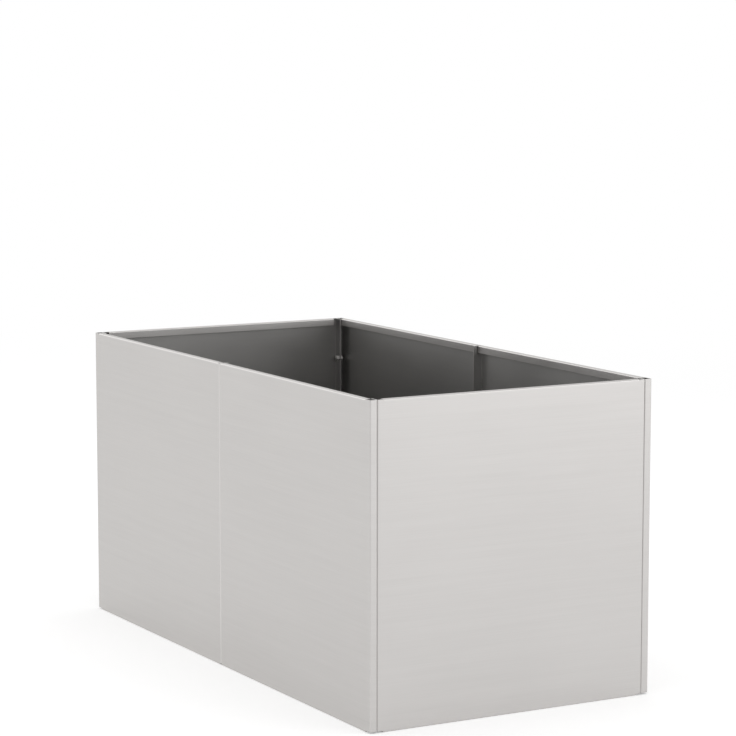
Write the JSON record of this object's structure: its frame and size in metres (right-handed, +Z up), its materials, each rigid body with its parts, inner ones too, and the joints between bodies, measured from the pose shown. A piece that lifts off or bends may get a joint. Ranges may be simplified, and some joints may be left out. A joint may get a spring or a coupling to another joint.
{
  "type": "floor planter",
  "caption": "Rectangular floor planter of satin stainless sheet: folded side and end panels bolted at corners and mid length, open top with folded rim, drained base, inner tie bar.",
  "frame": {"origin": "middle of the footprint, on the ground", "axes": "+X along the length, +Y across the width, +Z up"},
  "size_m": [0.8, 0.4, 0.4],
  "materials": {
    "wall_sheet": "fine satin, faint grain along the sheet",
    "base_sheet": "dull mill finish",
    "tie_sheet": "dull mill finish",
    "screw_steel": "bright, machined",
    "nut_steel": "bright, machined"
  },
  "bodies": {
    "root": {"base_plate_left": "base_sheet", "base_plate_right": "base_sheet", "corner_back_left_nuts": "nut_steel", "corner_back_left_screws": "screw_steel", "corner_back_right_nuts": "nut_steel", "corner_back_right_screws": "screw_steel", "corner_front_left_nuts": "nut_steel", "corner_front_left_screws": "screw_steel", "corner_front_right_nuts": "nut_steel", "corner_front_right_screws": "screw_steel", "end_panel_left": "wall_sheet", "end_panel_right": "wall_sheet", "seam_nuts": "nut_steel", "seam_screws": "screw_steel", "side_panel_back_left": "wall_sheet", "side_panel_back_right": "wall_sheet", "side_panel_front_left": "wall_sheet", "side_panel_front_right": "wall_sheet", "tie_bar": "tie_sheet", "tie_nuts": "nut_steel", "tie_screws": "screw_steel"}
  },
  "joints": []
}
